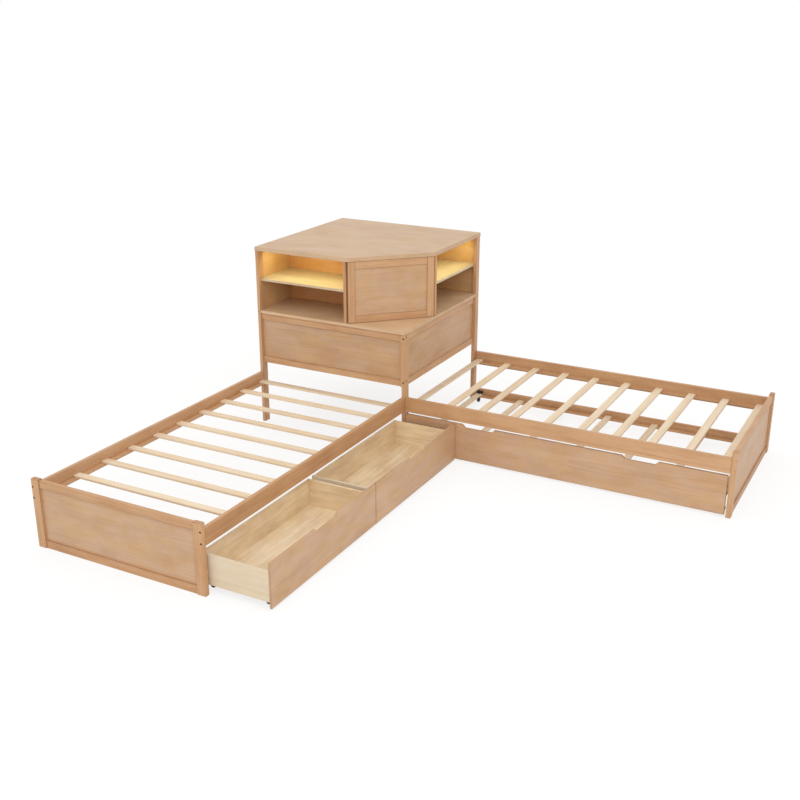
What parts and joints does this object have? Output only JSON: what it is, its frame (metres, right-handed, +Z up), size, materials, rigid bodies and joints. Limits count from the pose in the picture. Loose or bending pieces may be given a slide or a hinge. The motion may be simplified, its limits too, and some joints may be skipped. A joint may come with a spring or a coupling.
{
  "type": "l-shaped floor bed",
  "caption": "L-shaped floor bed: slatted twin beds meet at a raised corner cabinet with lit open shelves and a corner door; pull-out drawers and a rolling trundle run below.",
  "frame": {"origin": "on the floor, in the middle of the whole bed's outer box", "axes": "+X along the right bed, away from the cabinet; +Y towards the cabinet's back, so the left bed runs towards -Y; +Z up"},
  "size_m": [3.011, 3.011, 1.154],
  "materials": {
    "frame_pine": "satin honey stain",
    "panel_pine": "satin honey stain, flat grain",
    "pale_pine": "bare planed pine",
    "wheel": "black",
    "hinge_steel": "nickel plated",
    "light_diffuser": "milky, lit warm"
  },
  "bodies": {
    "frame": {"post_left": "frame_pine", "post_near": "frame_pine", "post_right": "frame_pine", "post_back": "frame_pine", "deck": "frame_pine", "cabinet_top": "frame_pine", "face_left_top_rail": "frame_pine", "face_left_bottom_rail": "frame_pine", "face_left_panel": "panel_pine", "face_right_top_rail": "frame_pine", "face_right_bottom_rail": "frame_pine", "face_right_panel": "panel_pine", "back_panel_left": "panel_pine", "back_panel_right": "panel_pine", "divider_left": "frame_pine", "divider_right": "frame_pine", "shelf_back_left": "panel_pine", "shelf_back_right": "panel_pine", "shelf_left": "frame_pine", "shelf_right": "frame_pine", "light_strip_left": "light_diffuser", "light_strip_right": "light_diffuser", "hinge_upper": "hinge_steel", "hinge_lower": "hinge_steel", "bed_left_rail_near": "frame_pine", "bed_left_rail_far": "frame_pine", "bed_left_slat_deck": "pale_pine", "footboard_left_frame": "frame_pine", "footboard_left_panel": "panel_pine", "bed_right_rail_near": "frame_pine", "bed_right_rail_far": "frame_pine", "bed_right_slat_deck": "pale_pine", "footboard_right_frame": "frame_pine", "footboard_right_panel": "panel_pine"},
    "door": {"door_frame": "frame_pine", "door_panel": "panel_pine"},
    "drawer_head": {"drawer_head_front": "panel_pine", "drawer_head_side_foot": "pale_pine", "drawer_head_side_head": "pale_pine", "drawer_head_back": "pale_pine", "drawer_head_bottom": "pale_pine"},
    "drawer_foot": {"drawer_foot_front": "panel_pine", "drawer_foot_side_foot": "pale_pine", "drawer_foot_side_head": "pale_pine", "drawer_foot_back": "pale_pine", "drawer_foot_bottom": "pale_pine"},
    "trundle": {"trundle_front": "panel_pine", "trundle_frame": "pale_pine"},
    "drawer_head_wheel_front_foot": {"drawer_head_wheel_front_foot": "wheel"},
    "drawer_head_wheel_front_head": {"drawer_head_wheel_front_head": "wheel"},
    "drawer_head_wheel_back_foot": {"drawer_head_wheel_back_foot": "wheel"},
    "drawer_head_wheel_back_head": {"drawer_head_wheel_back_head": "wheel"},
    "drawer_foot_wheel_front_foot": {"drawer_foot_wheel_front_foot": "wheel"},
    "drawer_foot_wheel_front_head": {"drawer_foot_wheel_front_head": "wheel"},
    "drawer_foot_wheel_back_foot": {"drawer_foot_wheel_back_foot": "wheel"},
    "drawer_foot_wheel_back_head": {"drawer_foot_wheel_back_head": "wheel"},
    "trundle_wheel_front_head": {"trundle_wheel_front_head": "wheel"},
    "trundle_wheel_front_foot": {"trundle_wheel_front_foot": "wheel"},
    "trundle_wheel_back_head": {"trundle_wheel_back_head": "wheel"},
    "trundle_wheel_back_foot": {"trundle_wheel_back_foot": "wheel"}
  },
  "joints": [
    {"name": "door_hinge", "type": "hinge", "parent": "frame", "child": "door", "pos_m": [-0.45533, 0.83667, 0.9415], "axis": [0, 0, 1], "range_deg": [0, 100]},
    {"name": "drawer_head_slide", "type": "slide", "parent": "frame", "child": "drawer_head", "axis": [1, 0, 0], "range_m": [-0.34, 0.06]},
    {"name": "drawer_foot_slide", "type": "slide", "parent": "frame", "child": "drawer_foot", "axis": [1, 0, 0], "range_m": [-0.34, 0.06]},
    {"name": "trundle_slide", "type": "slide", "parent": "frame", "child": "trundle", "axis": [0, 1, 0], "range_m": [0, 1.06]},
    {"name": "drawer_head_front_foot_spin", "type": "hinge", "parent": "drawer_head", "child": "drawer_head_wheel_front_foot", "pos_m": [-0.1615, -0.4555, 0.015], "axis": [0, 1, 0], "continuous": true},
    {"name": "drawer_head_front_head_spin", "type": "hinge", "parent": "drawer_head", "child": "drawer_head_wheel_front_head", "pos_m": [-0.1615, 0.367, 0.015], "axis": [0, 1, 0], "continuous": true},
    {"name": "drawer_head_back_foot_spin", "type": "hinge", "parent": "drawer_head", "child": "drawer_head_wheel_back_foot", "pos_m": [-0.4775, -0.4555, 0.015], "axis": [0, 1, 0], "continuous": true},
    {"name": "drawer_head_back_head_spin", "type": "hinge", "parent": "drawer_head", "child": "drawer_head_wheel_back_head", "pos_m": [-0.4775, 0.367, 0.015], "axis": [0, 1, 0], "continuous": true},
    {"name": "drawer_foot_front_foot_spin", "type": "hinge", "parent": "drawer_foot", "child": "drawer_foot_wheel_front_foot", "pos_m": [-0.1615, -1.414, 0.015], "axis": [0, 1, 0], "continuous": true},
    {"name": "drawer_foot_front_head_spin", "type": "hinge", "parent": "drawer_foot", "child": "drawer_foot_wheel_front_head", "pos_m": [-0.1615, -0.5915, 0.015], "axis": [0, 1, 0], "continuous": true},
    {"name": "drawer_foot_back_foot_spin", "type": "hinge", "parent": "drawer_foot", "child": "drawer_foot_wheel_back_foot", "pos_m": [-0.4775, -1.414, 0.015], "axis": [0, 1, 0], "continuous": true},
    {"name": "drawer_foot_back_head_spin", "type": "hinge", "parent": "drawer_foot", "child": "drawer_foot_wheel_back_head", "pos_m": [-0.4775, -0.5915, 0.015], "axis": [0, 1, 0], "continuous": true},
    {"name": "trundle_front_head_spin", "type": "hinge", "parent": "trundle", "child": "trundle_wheel_front_head", "pos_m": [-0.4045, 0.4905, 0.015], "axis": [1, 0, 0], "continuous": true},
    {"name": "trundle_front_foot_spin", "type": "hinge", "parent": "trundle", "child": "trundle_wheel_front_foot", "pos_m": [1.4305, 0.4905, 0.015], "axis": [1, 0, 0], "continuous": true},
    {"name": "trundle_back_head_spin", "type": "hinge", "parent": "trundle", "child": "trundle_wheel_back_head", "pos_m": [-0.4045, 1.4405, 0.015], "axis": [1, 0, 0], "continuous": true},
    {"name": "trundle_back_foot_spin", "type": "hinge", "parent": "trundle", "child": "trundle_wheel_back_foot", "pos_m": [1.4305, 1.4405, 0.015], "axis": [1, 0, 0], "continuous": true}
  ],
  "couplings": [
    {"joint": "drawer_head_front_foot_spin", "follows": "drawer_head_slide", "rad_per_m": 66.667},
    {"joint": "drawer_head_front_head_spin", "follows": "drawer_head_slide", "rad_per_m": 66.667},
    {"joint": "drawer_head_back_foot_spin", "follows": "drawer_head_slide", "rad_per_m": 66.667},
    {"joint": "drawer_head_back_head_spin", "follows": "drawer_head_slide", "rad_per_m": 66.667},
    {"joint": "drawer_foot_front_foot_spin", "follows": "drawer_foot_slide", "rad_per_m": 66.667},
    {"joint": "drawer_foot_front_head_spin", "follows": "drawer_foot_slide", "rad_per_m": 66.667},
    {"joint": "drawer_foot_back_foot_spin", "follows": "drawer_foot_slide", "rad_per_m": 66.667},
    {"joint": "drawer_foot_back_head_spin", "follows": "drawer_foot_slide", "rad_per_m": 66.667},
    {"joint": "trundle_front_head_spin", "follows": "trundle_slide", "rad_per_m": -66.667},
    {"joint": "trundle_front_foot_spin", "follows": "trundle_slide", "rad_per_m": -66.667},
    {"joint": "trundle_back_head_spin", "follows": "trundle_slide", "rad_per_m": -66.667},
    {"joint": "trundle_back_foot_spin", "follows": "trundle_slide", "rad_per_m": -66.667}
  ]
}
